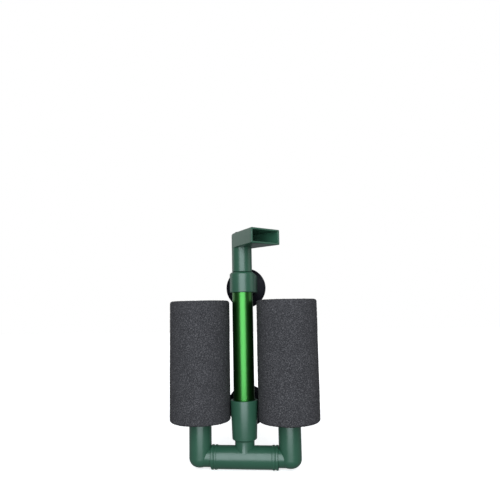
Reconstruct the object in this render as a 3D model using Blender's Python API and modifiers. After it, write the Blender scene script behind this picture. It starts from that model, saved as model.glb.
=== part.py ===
"""Air-driven twin sponge filter for an aquarium, as separate parts at their real size.

Everything hangs from one empty, filter_frame. In its frame the riser tube's axis is the Z axis, height 0 is
the underside of the base tee, -Y is the front and the aquarium's glass is a wall behind, at y = GLASS_Y.
The world's origin is on that glass, at the centre of the lower suction cup.
"""

import math

import bmesh
import bpy

MM = 0.001
GAP = 0.3                     # clearance between touching parts, mm
SIDES = 40                    # facets round a main pipe

# Driving dimensions, mm
TUBE_R = 9.2
TUBE_BORE_R = 7.7
TUBE_BOTTOM, TUBE_TOP = 31.0, 169.3

GLASS_Y = 28.0                # glass, behind the tube's axis
CUP_R = 18.8
CUP_STEM_R, CUP_HEAD_R = 2.7, 4.2
CUP_SHOULDER = 6.0            # from the glass to the shoulder that the holder's plate rests on
CUP_PLATE = 2.4               # thickness of the holder's plate
LOWER_CUP_Z, UPPER_CUP_Z = 48.0, 156.5

RUN_R = 9.75
RUN_BORE_R = 8.6
RUN_Z = RUN_R                 # height of the cross run's axis
RUN_HALF = 28.9
RIDGE_R = 10.25
NECK_R, NECK_BORE_R = 8.45, 7.0
SOCKET_BOTTOM, SOCKET_TOP = 24.3, 58.0
SOCKET_R_LOW, SOCKET_R_TOP = 10.7, 11.9
SOCKET_FLOOR = 28.5

ELBOW_X = 39.0                # leg axis, either side of the tube
LEG_R = 9.75
LEG_TOP = 39.7
LEG_CORNER_R = 7.9
SPIGOT_R = 8.3
SPIGOT_END_X = 14.5
PASSAGE_R = 6.6               # water way through an elbow
STRAINER_FLOOR = 21.0

STRAINER_R, STRAINER_BORE_R = 7.8, 6.4
STRAINER_TOP = 122.0
SLOT_WIDTH, SLOT_HEIGHT, SLOT_PITCH, SLOT_ROWS = 2.4, 14.0, 18.0, 4
FIRST_SLOT_Z = 48.0
CAP_TOP = 125.0

SPONGE_R = 26.7
SPONGE_BOTTOM, SPONGE_TOP = LEG_TOP + GAP, 144.3
SPONGE_HOLE_R = STRAINER_R + GAP
SPONGE_EDGE = 1.5

CLIP_BOTTOM, CLIP_TOP = 151.3, 169.3
CLIP_BORE_R, CLIP_R = TUBE_R + GAP, 11.2
CLIP_CHAMFER = 1.6
CLIP_HALF_WIDTH, CLIP_POCKET_HALF = 11.5, 7.6
LUG_BOTTOM, LUG_TOP = 40.5, 55.5
LUG_HALF_WIDTH, LUG_POCKET_HALF = 8.2, 5.2

SPOUT_YAW = -46.0             # direction of the mouth from +X, degrees
SPOUT_PIPE_R, SPOUT_BORE_R = 9.0, 5.9
SPOUT_SPIGOT_R, SPOUT_SPIGOT_END = 7.4, 156.0
DUCT_BOTTOM, DUCT_TOP = 191.3, 204.6
DUCT_WALL = 1.6
MOUTH_X, MOUTH_HALF = 34.5, 15.6

GROMMET_HOLE_R, GROMMET_R, AIRLINE_R = 4.5, 6.0, 3.0
STONE_R, STONE_BOTTOM, STONE_TOP = 5.5, 6.5, 26.0
SEAT_THICKNESS = 1.8


def clear_scene():
    for obj in list(bpy.data.objects):
        bpy.data.objects.remove(obj)


def new_collection(name):
    collection = bpy.data.collections.new(name)
    bpy.context.scene.collection.children.link(collection)
    return collection


def material(name, colour, roughness, metallic=0.0, alpha=1.0):
    """A plain Principled material."""
    made = bpy.data.materials.new(name)
    made.use_nodes = True
    shader = made.node_tree.nodes["Principled BSDF"]
    shader.inputs["Base Color"].default_value = (*colour, 1.0)
    shader.inputs["Roughness"].default_value = roughness
    shader.inputs["Metallic"].default_value = metallic
    shader.inputs["Alpha"].default_value = alpha
    made.diffuse_color = (*colour, alpha)
    return made


GREEN = (0.050, 0.150, 0.105)
CLEAR_GREEN = (0.045, 0.500, 0.030)
CHARCOAL = (0.065, 0.062, 0.070)
BLACK = (0.012, 0.012, 0.016)
GREY_STONE = (0.300, 0.310, 0.330)


# Shapes. Each returns an object whose mesh is in metres, centred on its own axis.

def add_object(name, mesh, collection):
    obj = bpy.data.objects.new(name, mesh)
    collection.objects.link(obj)
    return obj


def arc(centre_r, centre_z, radius, start, end, steps=5):
    """Points (r, z) along an arc, angles in degrees from +r towards +z."""
    angles = [math.radians(start + (end - start) * i / steps) for i in range(steps + 1)]
    return [(centre_r + radius * math.cos(a), centre_z + radius * math.sin(a)) for a in angles]


def turned(name, profile, collection, closed=False, sides=SIDES):
    """A profile of (r, z) points in mm, turned about Z. An open one starts and ends on the axis; it runs
    down its outer side. A closed one joins its last point to its first, which makes a ring or a pipe."""
    points = [(r * MM, 0.0, z * MM) for r, z in profile]
    edges = [(i, i + 1) for i in range(len(points) - 1)]
    if closed:
        edges.append((len(points) - 1, 0))
    mesh = bpy.data.meshes.new(name)
    mesh.from_pydata(points, edges, [])
    obj = add_object(name, mesh, collection)
    screw = obj.modifiers.new("Turn", "SCREW")
    screw.axis = "Z"
    screw.steps = screw.render_steps = sides
    screw.use_merge_vertices = True
    screw.merge_threshold = 0.00001
    return obj


def rod(name, radius, bottom, top, collection, sides=SIDES):
    """A plain cylinder along Z, as a turned profile."""
    return turned(name, [(0, top), (radius, top), (radius, bottom), (0, bottom)], collection, sides=sides)


def pipe(name, radius, bore, bottom, top, collection, sides=SIDES):
    return turned(name, [(radius, top), (radius, bottom), (bore, bottom), (bore, top)], collection,
                  closed=True, sides=sides)


def box(name, low, high, collection):
    """A box between two corners, in mm."""
    made = bmesh.new()
    bmesh.ops.create_cube(made, size=1.0)
    mesh = bpy.data.meshes.new(name)
    for vert in made.verts:
        vert.co = [MM * (lo + (c + 0.5) * (hi - lo)) for lo, hi, c in zip(low, high, vert.co)]
    made.to_mesh(mesh)
    made.free()
    return add_object(name, mesh, collection)


def plate(name, outline, low, high, collection):
    """A flat outline of (x, y) points in mm, as a solid between two heights: a filled 2D curve with an
    extrude, made a mesh so that it can be cut."""
    data = bpy.data.curves.new(name, "CURVE")
    data.dimensions = "2D"
    data.fill_mode = "BOTH"
    data.extrude = (high - low) / 2 * MM
    data.render_resolution_u = 0
    spline = data.splines.new("POLY")
    spline.points.add(len(outline) - 1)
    for point, (x, y) in zip(spline.points, outline):
        point.co = (x * MM, y * MM, 0.0, 1.0)
    spline.use_cyclic_u = True
    curve = add_object(name + "_outline", data, collection)
    curve.location.z = (high + low) / 2 * MM
    bpy.context.view_layer.update()
    mesh = bpy.data.meshes.new_from_object(curve.evaluated_get(bpy.context.evaluated_depsgraph_get()))
    welded = bmesh.new()
    welded.from_mesh(mesh)
    bmesh.ops.remove_doubles(welded, verts=welded.verts, dist=0.00001)
    bmesh.ops.recalc_face_normals(welded, faces=welded.faces)
    welded.to_mesh(mesh)
    welded.free()
    obj = add_object(name, mesh, collection)
    obj.matrix_world = curve.matrix_world
    bpy.data.objects.remove(curve)
    return obj


def combine(obj, other, operation):
    """Unites obj with a tool, or cuts it. The tool is a hidden guide that moves with obj."""
    boolean = obj.modifiers.new(operation.title(), "BOOLEAN")
    boolean.operation = operation
    boolean.solver = "EXACT"
    boolean.object = other
    other.parent = obj
    other.hide_render = True
    other.hide_set(True)
    other.display_type = "WIRE"


def unite(obj, *others):
    for other in others:
        combine(obj, other, "UNION")


def cut(obj, *others):
    for other in others:
        combine(obj, other, "DIFFERENCE")


def lay_along_x(obj, spin=0):
    """Turns a piece made along Z to lie along X, its top to +X, after a spin about its own axis in degrees,
    which keeps its facets from falling in line with those of an upright piece."""
    obj.rotation_mode = "ZYX"
    obj.rotation_euler = (0, math.radians(90), math.radians(spin))
    return obj


def finish_part(obj, look, frame, location=(0, 0, 0), rotation=(0, 0, 0)):
    """Places a part in the filter's frame, mm and degrees, and gives it its material."""
    obj.parent = frame
    obj.location = [MM * value for value in location]
    obj.rotation_euler = [math.radians(angle) for angle in rotation]
    obj.data.materials.append(look)


# Parts

def suction_cup(name, height, parts, frame, look):
    """A rubber cup with a mushroom stem. It is turned about its own Z, which then points at the viewer, and
    its rim lies on the glass."""
    head = CUP_SHOULDER + CUP_PLATE + 2 * GAP
    dome = arc(7.0, 0.9, 5.0, 90, 0, steps=4)
    profile = [(0, head + 2.8), (CUP_HEAD_R - 1.2, head + 2.8), (CUP_HEAD_R, head + 1.2), (CUP_HEAD_R, head),
               (CUP_STEM_R, head), (CUP_STEM_R, CUP_SHOULDER), (5.6, CUP_SHOULDER)]
    profile += [dome[0], dome[2], (CUP_R - 4.0, 2.4), (CUP_R, 0.9), (CUP_R, 0),
                (CUP_R - 1.8, 0), (12.0, 1.2), (6.0, 2.1), (0, 2.3)]
    cup = turned(name, profile, parts)
    finish_part(cup, look, frame, (0, GLASS_Y, height), (90, 0, 0))


def cup_holder(name, bottom, top, half_width, pocket_half, front_y, cup_z, collection):
    """The block behind a ring or socket: two cheeks and a back plate. Returns it, then the tools that cut its
    pocket and the slot in the plate, open below, which the cup's stem slides into."""
    plate_back = GLASS_Y - CUP_SHOULDER - GAP
    plate_front = plate_back - CUP_PLATE
    block = box(name + "_block", (-half_width, front_y, bottom), (half_width, plate_back, top), collection)
    pocket_front = plate_front - (CUP_STEM_R + 4.3)
    pocket = box(name + "_pocket", (-pocket_half, pocket_front, bottom - 1), (pocket_half, plate_front, top + 1),
                 collection)
    slot_half = CUP_STEM_R + GAP
    slot = box(name + "_slot", (-slot_half, plate_front - 1, bottom - 2), (slot_half, plate_back + 1, cup_z),
               collection)
    slot_end = rod(name + "_slot_end", slot_half, -CUP_PLATE, CUP_PLATE, collection, sides=24)
    slot_end.rotation_euler.x = math.radians(90)
    slot_end.location = (0, (plate_front + plate_back) / 2 * MM, (cup_z + 0.02) * MM)
    return block, (pocket, slot, slot_end)


def uplift_tube(parts, frame, look):
    tube = pipe("uplift_tube", TUBE_R, TUBE_BORE_R, TUBE_BOTTOM, TUBE_TOP, parts, sides=48)
    finish_part(tube, look, frame)


def ridge(z):
    """Two points of the run's profile lead up on to a rounded ridge at z and down again."""
    return [(RUN_R, z + 1.1), (RIDGE_R, z + 0.5), (RIDGE_R, z - 0.5), (RUN_R, z - 1.1)]


def base_tee(parts, cutters, frame, look):
    """The tee: the run is turned about Z, then laid along X, and everything else is united with it."""
    ridge_places = (RUN_HALF - 1.2, RUN_HALF - 4.0)
    profile = [(0, RUN_HALF), (RIDGE_R, RUN_HALF), (RIDGE_R, RUN_HALF - 1.6), (RUN_R, RUN_HALF - 2.3)]
    profile += ridge(ridge_places[1]) + [(r, -z) for r, z in reversed(ridge(ridge_places[1]))]
    profile += [(RUN_R, 2.3 - RUN_HALF), (RIDGE_R, 1.6 - RUN_HALF), (RIDGE_R, -RUN_HALF), (0, -RUN_HALF)]
    run = lay_along_x(turned("tee_run", profile, cutters))
    run.location.z = RUN_Z * MM
    upright = [(0, SOCKET_TOP), (SOCKET_R_TOP, SOCKET_TOP), (SOCKET_R_LOW, SOCKET_BOTTOM + 1.2),
               (SOCKET_R_LOW - 1.2, SOCKET_BOTTOM), (NECK_R, SOCKET_BOTTOM), (NECK_R, RUN_Z + 1), (0, RUN_Z + 1)]
    tee = turned("base_tee", upright, parts)
    block, holder_cuts = cup_holder("tee_lug", LUG_BOTTOM, LUG_TOP, LUG_HALF_WIDTH, LUG_POCKET_HALF, 9.6,
                                    LOWER_CUP_Z, cutters)
    socket = rod("tee_socket_bore", TUBE_R + GAP, SOCKET_FLOOR, SOCKET_TOP + 1, cutters, sides=48)
    neck = rod("tee_neck_bore", NECK_BORE_R, RUN_Z, SOCKET_FLOOR + 1, cutters)
    through = lay_along_x(rod("tee_run_bore", RUN_BORE_R, -RUN_HALF - 1, RUN_HALF + 1, cutters))
    through.location.z = RUN_Z * MM
    unite(tee, run, block)
    cut(tee, *holder_cuts, socket, neck, through)
    finish_part(tee, look, frame)


def inward_rod(name, radius, past_axis, reach, side, collection):
    """A rod along X from just past an elbow's axis, inwards to the tee."""
    ends = sorted((side * past_axis, -side * reach))
    return lay_along_x(rod(name, radius, *ends, collection, sides=SIDES - 2), spin=2)


def elbow(name, side, parts, cutters, frame, look):
    """A leg with a rounded foot and a spigot that plugs into the tee's run. Its origin is on the run's axis,
    which it can turn about. side is -1 on the left and 1 on the right."""
    top, foot = LEG_TOP - RUN_Z, 0.15 - SPIGOT_R
    leg_profile = [(0, top), (LEG_R, top)]
    leg_profile += arc(LEG_R - LEG_CORNER_R, foot + LEG_CORNER_R, LEG_CORNER_R, 0, -90, steps=6)
    leg_profile += [(0, foot)]
    leg = turned(name, leg_profile, parts)
    reach = ELBOW_X - SPIGOT_END_X
    spigot = inward_rod(name + "_spigot", SPIGOT_R, 1.3, reach, side, cutters)
    across = inward_rod(name + "_spigot_bore", PASSAGE_R - 0.3, 0.7, reach + 1, side, cutters)
    leg_bore = rod(name + "_leg_bore", PASSAGE_R, -5.5, top + 1, cutters, sides=SIDES - 4)
    socket = rod(name + "_socket", STRAINER_R + GAP, STRAINER_FLOOR - RUN_Z, top + 2, cutters)
    unite(leg, spigot)
    cut(leg, socket, leg_bore, across)
    finish_part(leg, look, frame, (side * ELBOW_X, 0, RUN_Z))


def strainer(name, side, parts, cutters, frame, look):
    """The slotted pipe inside a sponge: rows of upright slots, each cutter going right through two walls."""
    bottom = STRAINER_FLOOR + GAP
    tube = pipe(name, STRAINER_R, STRAINER_BORE_R, bottom, STRAINER_TOP, parts, sides=32)
    for row in range(SLOT_ROWS):
        low = FIRST_SLOT_Z + row * SLOT_PITCH
        for turn in range(2):
            reach = (SLOT_WIDTH / 2, STRAINER_R + 2)
            x, y = reach if turn == 0 else reversed(reach)
            cut(tube, box(f"{name}_slot_{row}_{turn}", (-x, -y, low), (x, y, low + SLOT_HEIGHT), cutters))
    finish_part(tube, look, frame, (side * ELBOW_X, 0, 0))


def strainer_cap(name, side, parts, frame, look):
    """A plug with a rim that closes the top of a strainer."""
    seat = STRAINER_TOP + GAP
    profile = [(0, CAP_TOP), (STRAINER_R - 0.8, CAP_TOP), (STRAINER_R, CAP_TOP - 0.8), (STRAINER_R, seat),
               (STRAINER_BORE_R - GAP, seat), (STRAINER_BORE_R - GAP, seat - 5), (0, seat - 5)]
    finish_part(turned(name, profile, parts, sides=32), look, frame, (side * ELBOW_X, 0, 0))


def sponge(name, side, parts, frame, look):
    """A foam cylinder with a blind hole that fits over the strainer, standing on the elbow's leg."""
    profile = [(0, SPONGE_TOP), (SPONGE_R - SPONGE_EDGE, SPONGE_TOP), (SPONGE_R, SPONGE_TOP - SPONGE_EDGE),
               (SPONGE_R, SPONGE_BOTTOM + SPONGE_EDGE), (SPONGE_R - SPONGE_EDGE, SPONGE_BOTTOM),
               (SPONGE_HOLE_R, SPONGE_BOTTOM), (SPONGE_HOLE_R, CAP_TOP + GAP), (0, CAP_TOP + GAP)]
    finish_part(turned(name, profile, parts, sides=48), look, frame, (side * ELBOW_X, 0, 0))


def cup_clip(parts, cutters, frame, look):
    """The ring that slides on the tube, with the block behind it that holds the upper suction cup."""
    clip = turned("cup_clip", [(0, CLIP_TOP), (CLIP_R - CLIP_CHAMFER, CLIP_TOP), (CLIP_R, CLIP_TOP - CLIP_CHAMFER),
                               (CLIP_R, CLIP_BOTTOM), (0, CLIP_BOTTOM)], parts)
    block, holder_cuts = cup_holder("clip", CLIP_BOTTOM, CLIP_TOP - CLIP_CHAMFER, CLIP_HALF_WIDTH, CLIP_POCKET_HALF,
                                    1.0, UPPER_CUP_Z, cutters)
    bore = rod("clip_bore", CLIP_BORE_R, CLIP_BOTTOM - 1, CLIP_TOP + 1, cutters, sides=48)
    unite(clip, block)
    cut(clip, *holder_cuts, bore)
    finish_part(clip, look, frame)


def duct_outline(inset, mouth_x, steps=10):
    """The spout's duct from above, mouth towards +X: a round back on the pipe's axis, and two straight sides
    that meet it smoothly and spread to the mouth. inset brings it in by a wall's thickness."""
    radius = SPOUT_PIPE_R - inset
    distance = math.hypot(MOUTH_X, MOUTH_HALF)
    side_angle = math.atan2(MOUTH_HALF, MOUTH_X) + math.asin(-SPOUT_PIPE_R / distance)
    tangent = math.pi / 2 + side_angle
    sweep = 2 * (math.pi - tangent)
    back = [(radius * math.cos(tangent + sweep * i / steps), radius * math.sin(tangent + sweep * i / steps))
            for i in range(steps + 1)]
    x, y = back[0]
    mouth_y = y + (mouth_x - x) * math.tan(side_angle)
    return [*back, (mouth_x, -mouth_y), (mouth_x, mouth_y)]


def outlet_spout(parts, cutters, frame, look):
    """A spigot that turns in the tube's top, a pipe, and the flat duct, which spreads to a wide low mouth."""
    profile = [(0, DUCT_TOP - 2), (SPOUT_PIPE_R - 0.05, DUCT_TOP - 2), (SPOUT_PIPE_R - 0.05, TUBE_TOP + GAP),
               (SPOUT_SPIGOT_R, TUBE_TOP + GAP), (SPOUT_SPIGOT_R, SPOUT_SPIGOT_END), (0, SPOUT_SPIGOT_END)]
    spout = turned("outlet_spout", profile, parts)
    duct = plate("spout_duct", duct_outline(0, MOUTH_X), DUCT_BOTTOM, DUCT_TOP, cutters)
    hollow = plate("spout_hollow", duct_outline(DUCT_WALL, MOUTH_X + 1), DUCT_BOTTOM + DUCT_WALL,
                   DUCT_TOP - DUCT_WALL, cutters)
    bore = rod("spout_bore", SPOUT_BORE_R, SPOUT_SPIGOT_END - 1, DUCT_BOTTOM + DUCT_WALL + 1, cutters)
    air_hole = rod("spout_air_hole", GROMMET_HOLE_R, DUCT_TOP - DUCT_WALL - 1, DUCT_TOP + 1, cutters, sides=24)
    unite(spout, duct)
    cut(spout, hollow, bore, air_hole)
    finish_part(spout, look, frame, rotation=(0, 0, SPOUT_YAW))


def airline_grommet(parts, frame, look):
    """A rubber bush in the hole of the duct's top wall, which the airline passes through."""
    top, under = DUCT_TOP + GAP, DUCT_TOP - DUCT_WALL - GAP
    waist = GROMMET_HOLE_R - GAP
    profile = [(GROMMET_R, top + 0.9), (GROMMET_R, top), (waist, top), (waist, under), (GROMMET_R - 0.5, under),
               (GROMMET_R - 0.5, under - 1.2), (AIRLINE_R, under - 1.2), (AIRLINE_R, top + 0.9)]
    finish_part(turned("airline_grommet", profile, parts, closed=True, sides=24), look, frame,
                rotation=(0, 0, SPOUT_YAW))


def stone_seat(parts, cutters, frame, look):
    """A ring on the socket's floor under the tube, with three arms to the hub that centres the stone."""
    bottom = SOCKET_FLOOR + GAP
    top = bottom + SEAT_THICKNESS
    seat = pipe("stone_seat", TUBE_R, NECK_BORE_R, bottom, top, parts)
    hub = rod("seat_hub", 3.9, bottom, top, cutters, sides=24)
    arms = []
    for index in range(3):
        arm = box(f"seat_arm_{index}", (0, -0.9, bottom + 0.2), (NECK_BORE_R + 0.6, 0.9, top - 0.2), cutters)
        arm.rotation_euler.z = math.radians(120 * index + 90)
        arms.append(arm)
    hole = rod("seat_hole", 2.4, bottom - 1, top + 1, cutters, sides=24)
    unite(seat, hub, *arms)
    cut(seat, hole)
    finish_part(seat, look, frame)


def air_stone(parts, frame, look):
    """The porous stone, with a blind hole for the nipple's stem."""
    profile = [(STONE_R - 0.8, STONE_TOP), (STONE_R, STONE_TOP - 0.8), (STONE_R, STONE_BOTTOM + 0.8),
               (STONE_R - 0.8, STONE_BOTTOM), (0, STONE_BOTTOM)]
    hole = [(0, STONE_TOP - 7), (2.4, STONE_TOP - 7), (2.4, STONE_TOP)]
    finish_part(turned("air_stone", hole + profile, parts, sides=24), look, frame)


def air_stone_nipple(parts, frame, look):
    """A hollow stem: its foot goes into the stone, its collar stands on the seat's hub, and the airline is
    pushed over the barbs at its top."""
    collar = SOCKET_FLOOR + 2 * GAP + SEAT_THICKNESS
    foot = STONE_TOP - 6
    profile = [(1.6, collar + 13)]
    for barb in range(3):
        low = collar + 10 - 3 * barb
        profile += [(2.35, low), (1.9, low)]
    profile += [(1.9, collar + 1.4), (3.7, collar + 1.4), (3.7, collar), (2.1, collar), (2.1, foot),
                (1.0, foot), (1.0, collar + 13)]
    finish_part(turned("air_stone_nipple", profile, parts, closed=True, sides=20), look, frame)


def main():
    clear_scene()
    parts = new_collection("twin_sponge_filter")
    cutters = new_collection("cutters")
    frame = add_object("filter_frame", None, parts)
    frame.location = (0, -GLASS_Y * MM, -LOWER_CUP_Z * MM)

    green = material("green_plastic", GREEN, 0.35)
    clear_green = material("clear_green_plastic", CLEAR_GREEN, 0.08, alpha=0.6)
    grey = material("dark_grey_plastic", CHARCOAL, 0.5)
    foam = material("charcoal_foam", CHARCOAL, 0.95)
    rubber = material("black_rubber", BLACK, 0.45)
    stone = material("air_stone_grit", GREY_STONE, 0.9)

    uplift_tube(parts, frame, clear_green)
    base_tee(parts, cutters, frame, green)
    outlet_spout(parts, cutters, frame, green)
    airline_grommet(parts, frame, rubber)
    cup_clip(parts, cutters, frame, green)
    suction_cup("upper_suction_cup", UPPER_CUP_Z, parts, frame, rubber)
    suction_cup("lower_suction_cup", LOWER_CUP_Z, parts, frame, rubber)
    stone_seat(parts, cutters, frame, green)
    air_stone(parts, frame, stone)
    air_stone_nipple(parts, frame, green)
    for word, side in (("left", -1), ("right", 1)):
        elbow(f"{word}_elbow", side, parts, cutters, frame, green)
        strainer(f"{word}_strainer", side, parts, cutters, frame, grey)
        strainer_cap(f"{word}_strainer_cap", side, parts, frame, grey)
        sponge(f"{word}_sponge", side, parts, frame, foam)


main()
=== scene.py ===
"""Looks of the air-driven twin sponge filter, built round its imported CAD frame.

Sizes are in mm in the filter's own frame, as in the CAD source: the riser tube's axis is the Z axis, height 0
is the underside of the tee's run, and -Y is the front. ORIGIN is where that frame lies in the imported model.
"""

import math

import bmesh
import bpy
import numpy as np
from mathutils import Matrix, Vector


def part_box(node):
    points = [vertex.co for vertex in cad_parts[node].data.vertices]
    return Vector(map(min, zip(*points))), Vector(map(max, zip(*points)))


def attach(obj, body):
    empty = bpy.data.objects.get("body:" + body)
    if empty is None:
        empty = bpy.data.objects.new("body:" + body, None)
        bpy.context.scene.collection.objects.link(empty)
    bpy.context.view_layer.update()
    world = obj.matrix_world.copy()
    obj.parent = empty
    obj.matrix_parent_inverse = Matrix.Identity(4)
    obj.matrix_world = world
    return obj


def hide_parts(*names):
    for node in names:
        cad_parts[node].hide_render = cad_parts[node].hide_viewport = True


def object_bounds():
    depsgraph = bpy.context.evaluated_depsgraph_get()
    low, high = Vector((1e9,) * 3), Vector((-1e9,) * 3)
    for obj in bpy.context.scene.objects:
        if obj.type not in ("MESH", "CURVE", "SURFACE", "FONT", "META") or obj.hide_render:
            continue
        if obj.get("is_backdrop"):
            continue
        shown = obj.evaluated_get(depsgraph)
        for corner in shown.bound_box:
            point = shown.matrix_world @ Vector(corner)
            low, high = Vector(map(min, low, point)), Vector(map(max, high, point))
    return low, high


MM = 0.001
SIDES = 128                    # facets round a turned piece

GAP = 0.3                      # clearance between touching parts
TUBE_WALL = 1.5

RUN_Z = 9.75                   # height of the cross run's axis
RIDGE = 0.5                    # how far the run's ridges stand out
RUN_BORE_R, NECK_BORE_R = 8.6, 7.0
SOCKET_R_TOP, SOCKET_R_LOW, SOCKET_LOW = 11.9, 10.7, 25.2
NECK_R, NECK_TOP = 8.45, 24.2
SEAT_ROOM = 2.5                # under the riser, for the stone's seat
LUG_HALF, LUG_FRONT, LUG_LOW, LUG_HIGH = 8.2, 9.6, 40.5, 55.5

PLUG_R, PLUG_BORE_R = 8.3, 6.3   # the elbow's spigot in the run
LEG_BORE_R, LEG_FLOOR, LEG_CORNER = 6.6, 4.25, 7.9
LEG_SOCKET_R, LEG_SOCKET_FLOOR = 8.1, 21.0

STRAINER_WALL = 1.4
SLOT_ROWS, FIRST_SLOT, SLOT_PITCH, SLOT_HEIGHT, SLOT_HALF = 4, 48.0, 18.0, 14.0, 1.2

PIPE_R, SPIGOT_R, SPOUT_BORE_R = 8.95, 7.4, 5.9
DUCT_BACK_R, DUCT_HEIGHT, DUCT_WALL = 9.0, 13.3, 1.6
MOUTH_X, MOUTH_HALF, MOUTH_EDGE = 34.5, 15.6, 0.45
SPOUT_YAW = -46.0              # direction of the mouth from +X, degrees
AIR_HOLE_R = 4.5               # the hole that the grommet sits in

CLIP_CHAMFER = 1.6
CHEEK_FRONT = 1.0              # where the clip's cheeks start, behind the riser's axis
TEE_POCKET_HALF, CLIP_POCKET_HALF = 5.2, 7.6
CUP_PLATE = 2.4                # thickness of the plate that a suction cup's stem goes through
CUP_SHOULDER = 6.0             # from the glass to that plate
CUP_POCKET = 7.0               # depth of the pocket in front of that plate
CUP_STEM_R, CUP_HEAD_R = 2.7, 4.2

SPONGE_GRID = 0.75             # spacing of the foam surface's points
FOAM_PORE, FOAM_LUMP = 0.28, 0.22

ROOM_LIGHT = 0.22              # strength of the room in reflections
ROOM_LIGHT_THROUGH = 0.06      # and through the riser's walls


# Shapes

def filleted(corners, closed=False, steps=5):
    """An outline with rounded corners. A corner is (x, y), which stays sharp, or (x, y, radius)."""
    outline = []
    for index, corner in enumerate(corners):
        here = Vector(corner[:2])
        at_end = not closed and index in (0, len(corners) - 1)
        if len(corner) == 2 or at_end:
            outline.append(tuple(here))
            continue
        radius = corner[2]
        before = (Vector(corners[index - 1][:2]) - here).normalized()
        after = (Vector(corners[(index + 1) % len(corners)][:2]) - here).normalized()
        half = before.angle(after) / 2
        centre = here + (before + after).normalized() * radius / math.sin(half)
        start = here + before * radius / math.tan(half) - centre
        end = here + after * radius / math.tan(half) - centre
        sweep = math.pi - 2 * half
        for step in range(steps + 1):
            share = step / steps
            spoke = start * math.sin((1 - share) * sweep) + end * math.sin(share * sweep)
            outline.append(tuple(centre + spoke / math.sin(sweep)))
    return outline


def new_object(name, made):
    """An object from a bmesh, which is used up, linked to the scene."""
    mesh = bpy.data.meshes.new(name)
    made.to_mesh(mesh)
    made.free()
    obj = bpy.data.objects.new(name, mesh)
    bpy.context.scene.collection.objects.link(obj)
    return obj


def turned(name, profile, closed=False, sides=SIDES):
    """Turns a profile of (r, z) points in mm about Z. It runs down its outer side. A closed one makes a
    ring or a pipe, and an open one starts and ends on the axis."""
    made = bmesh.new()
    spokes = [(math.cos(a), math.sin(a)) for a in (2 * math.pi * i / sides for i in range(sides))]
    rings = []
    for r, z in profile:
        if r < 1e-6:
            rings.append([made.verts.new((0, 0, z * MM))] * sides)
        else:
            rings.append([made.verts.new((r * x * MM, r * y * MM, z * MM)) for x, y in spokes])
    lower_rings = rings[1:] + rings[:1] if closed else rings[1:]
    for upper, lower in zip(rings, lower_rings):
        for i in range(sides):
            j = (i + 1) % sides
            made.faces.new(dict.fromkeys((upper[i], lower[i], lower[j], upper[j])))
    return new_object(name, made)


def rod(name, radius, bottom, top, sides=SIDES):
    return turned(name, [(0, top), (radius, top), (radius, bottom), (0, bottom)], sides=sides)


def stacked(name, rings):
    """A solid from rings of (x, y, z) points in mm, the lowest first, each anticlockwise from above."""
    made = bmesh.new()
    levels = [[made.verts.new(Vector(point) * MM) for point in ring] for ring in rings]
    count = len(levels[0])
    for lower, upper in zip(levels, levels[1:]):
        for i in range(count):
            j = (i + 1) % count
            made.faces.new((lower[i], lower[j], upper[j], upper[i]))
    made.faces.new(reversed(levels[0]))
    made.faces.new(levels[-1])
    return new_object(name, made)


def block(name, low, high, edge=0.0):
    """A box between two corners in mm, its edges rounded."""
    made = bmesh.new()
    bmesh.ops.create_cube(made, size=1.0)
    for vert in made.verts:
        vert.co = [MM * (lo + (c + 0.5) * (hi - lo)) for lo, hi, c in zip(low, high, vert.co)]
    if edge:
        edges = list(made.edges)
        bmesh.ops.bevel(made, geom=edges, offset=edge * MM, segments=4, profile=0.5, affect="EDGES")
    return new_object(name, made)


def moved(obj, location=(0, 0, 0), axis="Z", degrees=0.0):
    """Turns a mesh about an axis of its own frame, then moves it, mm."""
    turn = Matrix.Rotation(math.radians(degrees), 4, axis)
    obj.data.transform(Matrix.Translation(Vector(location) * MM) @ turn)
    return obj


def combine(obj, tools, operation):
    """Unites obj with each tool, or cuts it, and removes the tool."""
    for tool in tools:
        boolean = obj.modifiers.new("Boolean", "BOOLEAN")
        boolean.operation = operation
        boolean.solver = "EXACT"
        boolean.object = tool
        bpy.context.view_layer.update()
        result = obj.evaluated_get(bpy.context.evaluated_depsgraph_get())
        mesh = bpy.data.meshes.new_from_object(result)
        obj.modifiers.remove(boolean)
        obj.data = mesh
        bpy.data.objects.remove(tool)


def unite(obj, *tools):
    combine(obj, tools, "UNION")


def cut(obj, *tools):
    combine(obj, tools, "DIFFERENCE")


def box_mm(node):
    """Lowest and highest corner of a CAD node in the filter's frame, mm."""
    low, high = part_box(node)
    return (low - ORIGIN) / MM, (high - ORIGIN) / MM


def place(obj, look, node, body, sharp=32.0):
    """Puts a finished piece where its CAD node is, on that node's body, with its material."""
    obj.location = ORIGIN
    obj.data.materials.clear()
    obj.data.materials.append(look)
    obj.data.shade_smooth()
    obj.data.set_sharp_from_angle(angle=math.radians(sharp))
    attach(obj, body)
    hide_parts(node)


# Materials

def new_material(name):
    """A material with a Principled shader. Returns it, its node tree and the shader."""
    made = bpy.data.materials.new(name)
    made.use_nodes = True
    tree = made.node_tree
    return made, tree, tree.nodes["Principled BSDF"]


def noise(tree, scale, detail=2.0, roughness=0.5):
    """Noise in the object's own coordinates; the scale is in cycles a metre."""
    coordinates = tree.nodes.new("ShaderNodeTexCoord")
    texture = tree.nodes.new("ShaderNodeTexNoise")
    texture.inputs["Scale"].default_value = scale
    texture.inputs["Detail"].default_value = detail
    texture.inputs["Roughness"].default_value = roughness
    tree.links.new(coordinates.outputs["Object"], texture.inputs["Vector"])
    return texture.outputs["Fac"]


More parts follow.
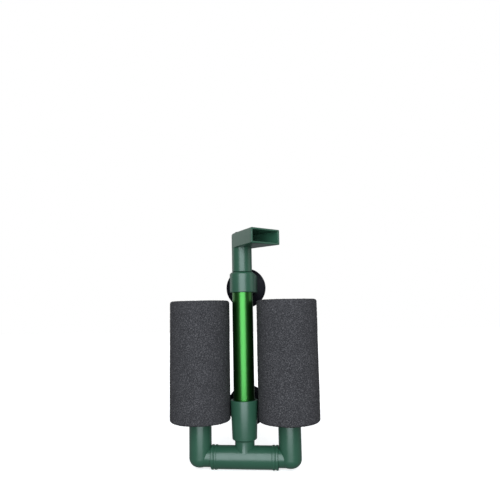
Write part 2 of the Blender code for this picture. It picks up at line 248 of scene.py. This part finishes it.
def between(tree, factor, low, high, start=0.3, end=0.7):
    """A value that goes from low to high as the factor goes from start to end."""
    ranged = tree.nodes.new("ShaderNodeMapRange")
    for socket, value in (("From Min", start), ("From Max", end), ("To Min", low), ("To Max", high)):
        ranged.inputs[socket].default_value = value
    tree.links.new(factor, ranged.inputs["Value"])
    return ranged.outputs["Result"]


def shades(tree, factor, stops):
    """A colour ramp: stops are (position, colour)."""
    ramp = tree.nodes.new("ShaderNodeValToRGB")
    elements = ramp.color_ramp.elements
    while len(elements) < len(stops):
        elements.new(0.5)
    for element, (position, colour) in zip(elements, stops):
        element.position = position
        element.color = (*colour, 1.0)
    tree.links.new(factor, ramp.inputs["Fac"])
    return ramp.outputs["Color"]


def bump(tree, shader, height, distance, strength, under=None):
    """Relief from a height, distance in mm. It goes on top of another relief where one is given."""
    relief = tree.nodes.new("ShaderNodeBump")
    relief.inputs["Distance"].default_value = distance * MM
    relief.inputs["Strength"].default_value = strength
    tree.links.new(height, relief.inputs["Height"])
    if under is not None:
        tree.links.new(under, relief.inputs["Normal"])
    tree.links.new(relief.outputs["Normal"], shader.inputs["Normal"])
    return relief.outputs["Normal"]


def tinted(colour, amount):
    return tuple(min(1.0, c * amount) for c in colour)


def moulded_plastic(name, colour, gloss):
    """Moulded plastic: slow mottling, faint flow marks, and the fine grain that a mould leaves. gloss is the
    range of its roughness."""
    made, tree, shader = new_material(name)
    mottle = 0.06
    slow = noise(tree, 55.0, detail=4.0)
    stops = [(0.3, tinted(colour, 1 - mottle)), (0.7, tinted(colour, 1 + mottle))]
    tree.links.new(shades(tree, slow, stops), shader.inputs["Base Color"])
    tree.links.new(between(tree, noise(tree, 160.0, detail=3.0), *gloss), shader.inputs["Roughness"])
    shader.inputs["IOR"].default_value = 1.5
    flow = bump(tree, shader, noise(tree, 70.0, detail=0.0), 0.08, 0.08)
    bump(tree, shader, noise(tree, 2600.0), 0.015, 0.10, under=flow)
    return made


def clear_green_plastic():
    """The riser's tinted tube. Its walls glow green where they face a light and darken towards the edges,
    under a thin clear coat."""
    made, tree, shader = new_material("clear_green")
    shader.inputs["Base Color"].default_value = (0.028, 0.25, 0.020, 1.0)
    shader.inputs["Metallic"].default_value = 0.5
    shader.inputs["Transmission Weight"].default_value = 1.0
    shader.inputs["IOR"].default_value = 1.49
    shader.inputs["Coat Weight"].default_value = 0.1
    shader.inputs["Coat Roughness"].default_value = 0.12
    tree.links.new(between(tree, noise(tree, 20.0, detail=0.0), 0.30, 0.33), shader.inputs["Roughness"])
    return made


def foam():
    """Charcoal filter foam: paler, faintly purple walls, with painted shade darkening the pores between them.
    """
    made, tree, shader = new_material("foam")
    cells = tree.nodes.new("ShaderNodeTexVoronoi")
    cells.inputs["Scale"].default_value = 1150.0
    coordinates = tree.nodes.new("ShaderNodeTexCoord")
    tree.links.new(coordinates.outputs["Object"], cells.inputs["Vector"])
    grain = noise(tree, 1500.0, detail=3.0, roughness=0.7)
    patches = noise(tree, 90.0, detail=3.0)
    pores = tree.nodes.new("ShaderNodeMath")
    pores.operation = "MULTIPLY_ADD"
    pores.inputs[1].default_value = 0.55
    tree.links.new(cells.outputs["Distance"], pores.inputs[0])
    tree.links.new(between(tree, grain, 0.0, 0.6, 0.35, 0.75), pores.inputs[2])
    # The dark end of these stops is painted shade in the pores; the pale end is the walls' own colour.
    stops = [(0.12, (0.012, 0.011, 0.012)), (0.50, (0.033, 0.030, 0.033)), (0.95, (0.115, 0.106, 0.110))]
    speckled = shades(tree, pores.outputs["Value"], stops)
    tone = tree.nodes.new("ShaderNodeMix")
    tone.data_type = "RGBA"
    tone.blend_type = "MULTIPLY"
    tone.inputs["Factor"].default_value = 1.0
    tree.links.new(speckled, tone.inputs["A"])
    tree.links.new(shades(tree, patches, [(0.35, (0.90,) * 3), (0.65, (1.0,) * 3)]), tone.inputs["B"])
    tree.links.new(tone.outputs["Result"], shader.inputs["Base Color"])
    shader.inputs["Roughness"].default_value = 0.95
    shader.inputs["Specular IOR Level"].default_value = 0.2
    bump(tree, shader, pores.outputs["Value"], 0.35, 0.8)
    return made


def rubber():
    """Soft black rubber with a satin skin and a little dust in its tone."""
    made, tree, shader = new_material("rubber")
    stops = [(0.3, (0.003, 0.003, 0.005)), (0.7, (0.006, 0.005, 0.008))]
    tree.links.new(shades(tree, noise(tree, 140.0, detail=4.0), stops), shader.inputs["Base Color"])
    tree.links.new(between(tree, noise(tree, 220.0, detail=3.0), 0.34, 0.48), shader.inputs["Roughness"])
    shader.inputs["IOR"].default_value = 1.5
    shader.inputs["Specular IOR Level"].default_value = 0.06
    bump(tree, shader, noise(tree, 1800.0), 0.03, 0.3)
    return made


def grit():
    """The air stone: sintered grey-blue grit."""
    made, tree, shader = new_material("grit")
    grains = noise(tree, 1600.0, detail=5.0, roughness=0.7)
    stops = [(0.35, (0.12, 0.13, 0.15)), (0.6, (0.38, 0.40, 0.43))]
    tree.links.new(shades(tree, grains, stops), shader.inputs["Base Color"])
    shader.inputs["Roughness"].default_value = 0.9
    bump(tree, shader, grains, 0.4, 0.9)
    return made


# Pieces

def riser_tube(look):
    low, high = box_mm("uplift_tube")
    outer, bore = high.x, high.x - TUBE_WALL
    corners = [(outer, high.z, 0.5), (outer, low.z, 0.5), (bore, low.z, 0.5), (bore, high.z, 0.5)]
    tube = turned("clear_riser", filleted(corners, closed=True), closed=True)
    place(tube, look, "uplift_tube", "riser")


def ridge_points(run_r, at):
    """The corners of one rounded ridge of the run, from further out to further in."""
    top = run_r + RIDGE
    return [(run_r, at + 1.15, 0.3), (top, at + 0.75, 0.45), (top, at - 0.75, 0.45), (run_r, at - 1.15, 0.3)]


def holder_tools(bottom, top, pocket_half, cup_z):
    """What a cup holder's block is cut with: the pocket behind the pipe, and the slot for the cup's stem."""
    plate_back = GLASS_Y - CUP_SHOULDER - GAP
    plate_front = plate_back - CUP_PLATE
    pocket_front = plate_front - CUP_POCKET
    slot_half = CUP_STEM_R + GAP
    pocket = block("pocket", (-pocket_half, pocket_front, bottom - 1), (pocket_half, plate_front, top + 1))
    slot = block("slot", (-slot_half, plate_front - 1, bottom - 2), (slot_half, plate_back + 1, cup_z))
    slot_end = rod("slot_end", slot_half, -CUP_PLATE, CUP_PLATE, sides=48)
    moved(slot_end, (0, (plate_front + plate_back) / 2, cup_z + 0.02), "X", 90)
    return pocket, slot, slot_end


def base_tee(look):
    """The tee: a tapered socket and neck, the cross run with its ridges, and the lug for the lower cup."""
    low, high = box_mm("base_tee")
    ridge_r = RUN_Z - low.z
    run_r, half = ridge_r - RIDGE, high.x
    end = [(0, half), (ridge_r, half, 0.5), (ridge_r, half - 1.7, 0.45), (run_r, half - 2.2, 0.3)]
    side = [*end, *ridge_points(run_r, half - 4.1)]
    mirrored = [(r, -z, *edge) for r, z, *edge in reversed(side)]
    run = moved(turned("run", filleted(side + mirrored, steps=4)), (0, 0, RUN_Z), "Y", 90)
    socket_top = high.z
    upright = [(0, socket_top), (SOCKET_R_TOP, socket_top, 0.7), (SOCKET_R_LOW, SOCKET_LOW, 1.1),
               (NECK_R, NECK_TOP, 0.5), (NECK_R, RUN_Z + 1), (0, RUN_Z + 1)]
    tee = turned("moulded_tee", filleted(upright))
    cup_low, cup_high = box_mm("lower_suction_cup")
    lug = block("lug", (-LUG_HALF, LUG_FRONT, LUG_LOW), (LUG_HALF, high.y, LUG_HIGH), edge=0.7)
    tube_low, tube_high = box_mm("uplift_tube")
    floor = tube_low.z - SEAT_ROOM
    mouth = [(0, socket_top + 1), (tube_high.x + 1.4, socket_top + 1), (tube_high.x + GAP, socket_top - 0.6),
             (tube_high.x + GAP, floor), (0, floor)]
    bore = turned("socket_bore", mouth)
    neck = rod("neck_bore", NECK_BORE_R, RUN_Z, floor + 1)
    through = moved(rod("run_bore", RUN_BORE_R, -half - 1, half + 1), (0, 0, RUN_Z), "Y", 90)
    unite(tee, run, lug)
    holder = holder_tools(LUG_LOW, LUG_HIGH, TEE_POCKET_HALF, (cup_low.z + cup_high.z) / 2)
    cut(tee, *holder, bore, neck, through)
    place(tee, look, "base_tee", "riser")


def elbow(word, side, look):
    """A leg with a rounded foot, and the spigot that plugs into the run. The bores' facets differ from the
    leg's, and one lies a little off the axis, so that no two faces of a Boolean coincide."""
    low, high = box_mm("right_elbow")
    leg_r = high.y
    axis_x = high.x - leg_r
    corners = [(0, high.z), (leg_r, high.z, 0.6), (leg_r, low.z, LEG_CORNER), (0, low.z)]
    leg = turned(f"{word}_leg", filleted(corners, steps=14))
    inner_end = axis_x - low.x
    ends = sorted((side * 1.3, -side * inner_end))
    spigot = moved(rod("spigot", PLUG_R, *ends), (0, 0, RUN_Z), "Y", 90)
    ends = sorted((side * 0.7, -side * (inner_end + 1)))
    across = moved(rod("across", PLUG_BORE_R, *ends, sides=SIDES - 4), (0, 0, RUN_Z + 0.013), "Y", 90)
    down = rod("down", LEG_BORE_R, LEG_FLOOR, high.z + 1, sides=SIDES - 8)
    mouth = [(0, high.z + 1), (LEG_SOCKET_R + 0.9, high.z + 1), (LEG_SOCKET_R, high.z - 0.5),
             (LEG_SOCKET_R, LEG_SOCKET_FLOOR), (0, LEG_SOCKET_FLOOR)]
    unite(leg, spigot)
    cut(leg, turned("mouth", mouth), down, across)
    moved(leg, (side * axis_x, 0, 0))
    place(leg, look, f"{word}_elbow", f"{word}_arm")


def strainer(word, side, axis_x, look):
    """The slotted pipe that draws water in through the foam."""
    low, high = box_mm("right_strainer")
    outer = high.y
    bore = outer - STRAINER_WALL
    corners = [(outer, high.z, 0.4), (outer, low.z, 0.4), (bore, low.z, 0.4), (bore, high.z, 0.4)]
    pipe = turned(f"{word}_slotted_pipe", filleted(corners, closed=True, steps=3), closed=True, sides=72)
    for row in range(SLOT_ROWS):
        start = FIRST_SLOT + SLOT_PITCH * row
        for reach in ((SLOT_HALF, outer + 2), (outer + 2, SLOT_HALF)):
            cut(pipe, block("slot", (-reach[0], -reach[1], start), (*reach, start + SLOT_HEIGHT)))
    moved(pipe, (side * axis_x, 0, 0))
    place(pipe, look, f"{word}_strainer", f"{word}_arm")


def strainer_cap(word, side, axis_x, look):
    """The hollow plug that closes the top of the slotted pipe."""
    low, high = box_mm("right_strainer_cap")
    outer, seat = high.y, low.z + 5
    corners = [(0, high.z), (outer, high.z, 0.8), (outer, seat, 0.2), (outer - 1.7, seat, 0.2),
               (outer - 1.7, low.z, 0.5), (0, low.z)]
    cap = turned(f"{word}_pipe_plug", filleted(corners, steps=4), sides=72)
    moved(cap, (side * axis_x, 0, 0))
    place(cap, look, f"{word}_strainer_cap", f"{word}_arm")


def evenly(profile, spacing):
    """The same line with a point about every spacing."""
    points = [Vector(point) for point in profile]
    line = [points[0]]
    for start, end in zip(points, points[1:]):
        count = max(1, round((end - start).length / spacing))
        line += [start.lerp(end, (i + 1) / count) for i in range(count)]
    return [tuple(point) for point in line]


def roughen(obj, seed, pore, lump):
    """Moves each point along its normal, by pores from one point to the next and by long soft lumps, mm."""
    random = np.random.default_rng(seed)
    mesh = obj.data
    count = len(mesh.vertices)
    places = np.empty(count * 3)
    normals = np.empty(count * 3)
    mesh.vertices.foreach_get("co", places)
    mesh.vertex_normals.foreach_get("vector", normals)
    places, normals = places.reshape(-1, 3), normals.reshape(-1, 3)
    waves = random.normal(0.0, 90.0, (6, 3))
    phases = random.uniform(0.0, 2 * math.pi, 6)
    soft = np.sin(places @ waves.T + phases).mean(axis=1)
    fine = random.uniform(-1.0, 0.35, count)
    places += normals * ((lump * soft + pore * fine) * MM)[:, None]
    mesh.vertices.foreach_set("co", places.ravel())
    mesh.update()


def sponge(word, side, axis_x, look):
    """A foam cylinder with soft edges and a blind hole, its skin pitted by the foam's open pores."""
    low, high = box_mm("right_sponge")
    cap_top = box_mm("right_strainer_cap")[1].z
    pipe_r = box_mm("right_strainer")[1].y
    outer, hole = high.y - 0.1, pipe_r + GAP + 0.2
    corners = [(0.0, high.z), (outer, high.z, 2.2), (outer, low.z, 2.2), (hole, low.z, 0.8),
               (hole, cap_top + 0.5), (0.0, cap_top + 0.5)]
    profile = evenly(filleted(corners, steps=5), SPONGE_GRID)
    foam_body = turned(f"{word}_foam_body", profile, sides=round(2 * math.pi * outer / SPONGE_GRID))
    roughen(foam_body, 11 + side, FOAM_PORE, FOAM_LUMP)
    moved(foam_body, (side * axis_x, 0, 0))
    place(foam_body, look, f"{word}_sponge", f"{word}_foam", sharp=180.0)


def suction_cup(name, node, body, look):
    """A rubber cup: a thin dish with a lip against the glass, a domed crown, and a mushroom stem in front."""
    low, high = box_mm(node)
    rim_r, cup_z = high.x, (low.z + high.z) / 2
    head_top = high.y - low.y
    head = CUP_SHOULDER + CUP_PLATE + 2 * GAP
    corners = [(0, head_top), (CUP_HEAD_R, head_top, 1.1), (CUP_HEAD_R, head, 0.5), (CUP_STEM_R, head, 0.4),
               (CUP_STEM_R, CUP_SHOULDER, 0.6), (7.0, CUP_SHOULDER, 0.8), (10.2, 4.0, 4.0),
               (rim_r - 2.2, 2.0, 1.5), (rim_r - 0.2, 1.3, 0.4), (rim_r, 0.0, 0.3), (rim_r - 1.6, 0.0, 0.2),
               (13.0, 0.9, 3.0), (6.0, 2.1, 2.0), (0, 2.3)]
    cup = turned(name, filleted(corners))
    moved(cup, (0, GLASS_Y, cup_z), "X", 90)
    place(cup, look, node, body, sharp=50.0)


def cup_clip(look):
    """The ring on the riser, with two cheeks and the slotted plate that hold the upper cup."""
    low, high = box_mm("cup_clip")
    tube_r = box_mm("uplift_tube")[1].x
    cup_low, cup_high = box_mm("upper_suction_cup")
    ring_r = -low.y
    corners = [(0, high.z), (ring_r - CLIP_CHAMFER, high.z, 0.5), (ring_r, high.z - CLIP_CHAMFER, 0.8),
               (ring_r, low.z, 0.5), (0, low.z)]
    ring = turned("clip_body", filleted(corners))
    cheeks = block("cheeks", (low.x, CHEEK_FRONT, low.z), (high.x, high.y, high.z - CLIP_CHAMFER), edge=0.6)
    bore = rod("bore", tube_r + GAP, low.z - 1, high.z + 1)
    unite(ring, cheeks)
    holder = holder_tools(low.z, high.z, CLIP_POCKET_HALF, (cup_low.z + cup_high.z) / 2)
    cut(ring, *holder, bore)
    place(ring, look, "cup_clip", "clip")


def duct_outline(inset, mouth_x, back_steps=24, side_steps=10):
    """The duct from above, mouth towards +X: a round back on the pipe's axis, and two sides that meet it
    smoothly and spread to the mouth. inset brings the back and the sides in."""
    radius = DUCT_BACK_R - inset
    distance = math.hypot(MOUTH_X, MOUTH_HALF)
    side_angle = math.atan2(MOUTH_HALF, MOUTH_X) - math.asin(DUCT_BACK_R / distance)
    tangent = math.pi / 2 + side_angle
    sweep = 2 * (math.pi - tangent)
    angles = [tangent + sweep * i / back_steps for i in range(back_steps + 1)]
    back = [(radius * math.cos(a), radius * math.sin(a)) for a in angles]
    x, y = back[0]
    slope = math.tan(side_angle)
    steps = [(mouth_x - x) * i / side_steps for i in range(1, side_steps + 1)]
    far_side = [(x + step, y + step * slope) for step in steps]
    near_side = [(px, -py) for px, py in far_side]
    return back + near_side + far_side[::-1]


def duct_rings(base, mouth_x, bottom, top, bottom_edge, top_edge, steps=5):
    """Rings of the duct, lowest first, between two heights. base is how far its outline is brought in, and
    bottom_edge and top_edge give the radius that an edge is rounded with at a distance x from the pipe."""
    outline = duct_outline(base, mouth_x)
    inner = duct_outline(base + 1.0, mouth_x)
    rings = []
    for edge, rim, way in ((bottom_edge, bottom, 1), (top_edge, top, -1)):
        ring_set = []
        for step in range(steps + 1):
            turn = math.pi / 2 * step / steps
            ring = []
            for (x, y), (inner_x, inner_y) in zip(outline, inner):
                radius = edge(x)
                inset = radius * (1 - math.cos(turn))
                height = rim + way * radius * (1 - math.sin(turn))
                ring.append((x + (inner_x - x) * inset, y + (inner_y - y) * inset, height))
            ring_set.append(ring)
        rings += ring_set[::-1] if way == 1 else ring_set
    return rings


def ramp(x, start, end, low, high):
    """A value that goes from low to high as x goes from start to end."""
    share = min(1.0, max(0.0, (x - start) / (end - start)))
    return low + (high - low) * share


def at_mouth(vert):
    """Whether a point lies in the plane of the duct's mouth."""
    return vert.co.x > (MOUTH_X - 0.01) * MM


def rim_edges(made):
    return [edge for edge in made.edges if all(at_mouth(vert) for vert in edge.verts)]


def round_mouth(duct):
    """Rounds the outer and the inner edge of the mouth's rim."""
    made = bmesh.new()
    made.from_mesh(duct.data)
    bmesh.ops.remove_doubles(made, verts=made.verts, dist=0.000002)
    verts = [vert for vert in made.verts if at_mouth(vert)]
    bmesh.ops.dissolve_limit(made, angle_limit=0.002, verts=verts, edges=rim_edges(made))
    rim = rim_edges(made)
    bmesh.ops.bevel(made, geom=rim, offset=MOUTH_EDGE * MM, segments=4, profile=0.5, affect="EDGES")
    made.to_mesh(duct.data)
    made.free()


def outlet_spout(look):
    """A spigot and pipe, and the flat duct on top, which spreads to a wide low mouth."""
    low, high = box_mm("outlet_spout")
    tube_top = box_mm("uplift_tube")[1].z
    top, bottom, shoulder = high.z, high.z - DUCT_HEIGHT, tube_top + GAP
    corners = [(0, top - 2), (PIPE_R, top - 2), (PIPE_R, shoulder, 0.5), (SPIGOT_R, shoulder, 0.2),
               (SPIGOT_R, low.z, 0.8), (0, low.z)]
    pipe = turned("moulded_spout", filleted(corners))
    duct = stacked("duct", duct_rings(0.0, MOUTH_X, bottom, top, lambda x: ramp(x, 0, 8, 0.02, 0.9),
                                      lambda x: ramp(x, -6, 12, 2.0, 0.9)))
    hollow = stacked("hollow", duct_rings(DUCT_WALL, MOUTH_X + 1, bottom + DUCT_WALL, top - DUCT_WALL,
                                          lambda x: 0.9, lambda x: 0.9))
    bore = rod("bore", SPOUT_BORE_R, low.z - 1, bottom + DUCT_WALL + 1, sides=96)
    air_hole = rod("air_hole", AIR_HOLE_R, top - DUCT_WALL - 1, top + 1, sides=96)
    cut(duct, hollow)
    round_mouth(duct)
    unite(pipe, duct)
    cut(pipe, bore, air_hole)
    moved(pipe, axis="Z", degrees=SPOUT_YAW)
    place(pipe, look, "outlet_spout", "spout")


def airline_grommet(look):
    """The rubber bush that the airline goes through."""
    low, high = box_mm("airline_grommet")
    outer, waist, hole, top, under = 6.0, 4.2, 3.0, high.z - 0.9, low.z + 1.2
    corners = [(outer, high.z, 0.4), (outer, top, 0.2), (waist, top), (waist, under), (outer - 0.5, under),
               (outer - 0.5, low.z, 0.4), (hole, low.z, 0.3), (hole, high.z, 0.4)]
    bush = turned("airline_bush", filleted(corners, closed=True, steps=4), closed=True, sides=72)
    place(bush, look, "airline_grommet", "spout")


# Stage

def camera():
    """The view: a little right of the front, from above the base, looking slightly up."""
    azimuth, distance, height = math.radians(7.16), 447.94, 133.79
    turn, tilt, roll = math.radians(6.20), math.radians(7.10), math.radians(-1.05)
    data = bpy.data.cameras.new("camera")
    data.lens, data.sensor_width = 35.85, 36.0
    data.clip_start, data.clip_end = 0.01, 20.0
    obj = bpy.data.objects.new("camera", data)
    bpy.context.scene.collection.objects.link(obj)
    forward = Vector((-math.sin(turn) * math.cos(tilt), math.cos(turn) * math.cos(tilt), math.sin(tilt)))
    level = forward.cross(Vector((0, 0, 1))).normalized()
    upright = level.cross(forward)
    right = math.cos(roll) * level + math.sin(roll) * upright
    up = -math.sin(roll) * level + math.cos(roll) * upright
    place_mm = Vector((distance * math.sin(azimuth), -distance * math.cos(azimuth), height))
    turned_to = Matrix((right, up, -forward)).transposed().to_4x4()
    obj.matrix_world = Matrix.Translation(ORIGIN + place_mm * MM) @ turned_to
    bpy.context.scene.camera = obj


def softbox(name, azimuth, elevation, distance, size, power, colour=(1.0, 1.0, 1.0)):
    """An area light that points at the middle of the filter; azimuth 0 is in front, angles in degrees."""
    data = bpy.data.lights.new(name, "AREA")
    data.shape = "RECTANGLE"
    data.size, data.size_y = size
    data.energy = power
    data.color = colour
    obj = bpy.data.objects.new(name, data)
    bpy.context.scene.collection.objects.link(obj)
    a, e = math.radians(azimuth), math.radians(elevation)
    away = Vector((math.sin(a) * math.cos(e), -math.cos(a) * math.cos(e), math.sin(e)))
    obj.location = ORIGIN + Vector((0, 0, 0.1)) + away * distance
    obj.rotation_mode = "QUATERNION"
    obj.rotation_quaternion = (-away).to_track_quat("-Z", "Y")
    obj.visible_camera = False


def studio():
    """A room that is white to the camera, dim to what reflects and dimmer through the riser, and its
    softboxes: a large cool one in front and a weak one behind each side."""
    world = bpy.data.worlds.new("studio")
    bpy.context.scene.world = world
    world.use_nodes = True
    tree = world.node_tree
    dim = tree.nodes["Background"]
    dim.inputs["Color"].default_value = (0.90, 0.95, 1.0, 1.0)
    bright = tree.nodes.new("ShaderNodeBackground")
    bright.inputs["Color"].default_value = (1.0, 1.0, 1.0, 1.0)
    path = tree.nodes.new("ShaderNodeLightPath")
    through = tree.nodes.new("ShaderNodeMath")
    through.operation = "MULTIPLY_ADD"
    through.inputs[1].default_value = ROOM_LIGHT_THROUGH - ROOM_LIGHT
    through.inputs[2].default_value = ROOM_LIGHT
    tree.links.new(path.outputs["Is Transmission Ray"], through.inputs[0])
    tree.links.new(through.outputs["Value"], dim.inputs["Strength"])
    mix = tree.nodes.new("ShaderNodeMixShader")
    tree.links.new(path.outputs["Is Camera Ray"], mix.inputs["Fac"])
    tree.links.new(dim.outputs["Background"], mix.inputs[1])
    tree.links.new(bright.outputs["Background"], mix.inputs[2])
    tree.links.new(mix.outputs["Shader"], tree.nodes["World Output"].inputs["Surface"])
    softbox("key", 6, 14, 1.0, (1.1, 1.25), 23.0, (0.84, 0.95, 1.0))
    softbox("left_rim", -115, 18, 0.7, (0.5, 0.8), 1.0)
    softbox("right_rim", 98, 20, 0.8, (0.5, 0.8), 0.9)


def pale_floor():
    """A pale floor at the filter's foot. It takes a soft shadow and doesn't light the filter from below."""
    made = bmesh.new()
    bmesh.ops.create_grid(made, x_segments=1, y_segments=1, size=3.0)
    floor = new_object("floor", made)
    floor.location = (ORIGIN.x, ORIGIN.y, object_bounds()[0].z - 0.2 * MM)
    look, tree, shader = new_material("pale_floor")
    shader.inputs["Base Color"].default_value = (0.80, 0.80, 0.80, 1.0)
    shader.inputs["Roughness"].default_value = 0.9
    shader.inputs["Specular IOR Level"].default_value = 0.0
    shader.inputs["Emission Color"].default_value = (1.0, 1.0, 1.0, 1.0)
    coordinates = tree.nodes.new("ShaderNodeTexCoord")
    away = tree.nodes.new("ShaderNodeVectorMath")
    away.operation = "LENGTH"
    tree.links.new(coordinates.outputs["Object"], away.inputs[0])
    # Painted light: the floor glows, at 0.70 near the filter rising to 1.0 from 0.7 m out, so that it reads
    # white far away and the soft shadow shows near the foot.
    glow = between(tree, away.outputs["Value"], 0.70, 1.0, start=0.1, end=0.7)
    tree.links.new(glow, shader.inputs["Emission Strength"])
    floor.data.materials.append(look)
    floor.visible_glossy = False
    floor.visible_diffuse = False
    floor.visible_transmission = False
    floor.visible_shadow = False
    floor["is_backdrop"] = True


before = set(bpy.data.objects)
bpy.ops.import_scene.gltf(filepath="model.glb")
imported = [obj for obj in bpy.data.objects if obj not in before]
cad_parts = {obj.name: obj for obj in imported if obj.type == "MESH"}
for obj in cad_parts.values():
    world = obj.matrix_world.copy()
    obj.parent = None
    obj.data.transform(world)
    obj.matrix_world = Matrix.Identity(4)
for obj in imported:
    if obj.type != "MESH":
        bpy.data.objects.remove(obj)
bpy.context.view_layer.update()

tube_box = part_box("uplift_tube")
tee_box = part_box("base_tee")
ORIGIN = Vector(((tube_box[0].x + tube_box[1].x) / 2, (tube_box[0].y + tube_box[1].y) / 2,
                 tee_box[0].z + RIDGE * MM))
GLASS_Y = box_mm("lower_suction_cup")[1].y
bpy.context.scene.view_settings.view_transform = "Standard"

camera()
studio()
pale_floor()

green = moulded_plastic("moulded_green", (0.020, 0.066, 0.040), gloss=(0.28, 0.34))
grey = moulded_plastic("moulded_grey", (0.055, 0.055, 0.060), gloss=(0.4, 0.5))
black = rubber()
sponge_foam = foam()

riser_tube(clear_green_plastic())
base_tee(green)
outlet_spout(green)
airline_grommet(black)
cup_clip(green)
suction_cup("upper_cup_rubber", "upper_suction_cup", "upper_cup", black)
suction_cup("lower_cup_rubber", "lower_suction_cup", "riser", black)
elbow_high = box_mm("right_elbow")[1]
leg_x = elbow_high.x - elbow_high.y
for word, side in (("left", -1), ("right", 1)):
    elbow(word, side, green)
    strainer(word, side, leg_x, grey)
    strainer_cap(word, side, leg_x, grey)
    sponge(word, side, leg_x, sponge_foam)
for node, look in (("stone_seat", green), ("air_stone_nipple", green), ("air_stone", grit())):
    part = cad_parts[node]
    part.data.materials.clear()
    part.data.materials.append(look)
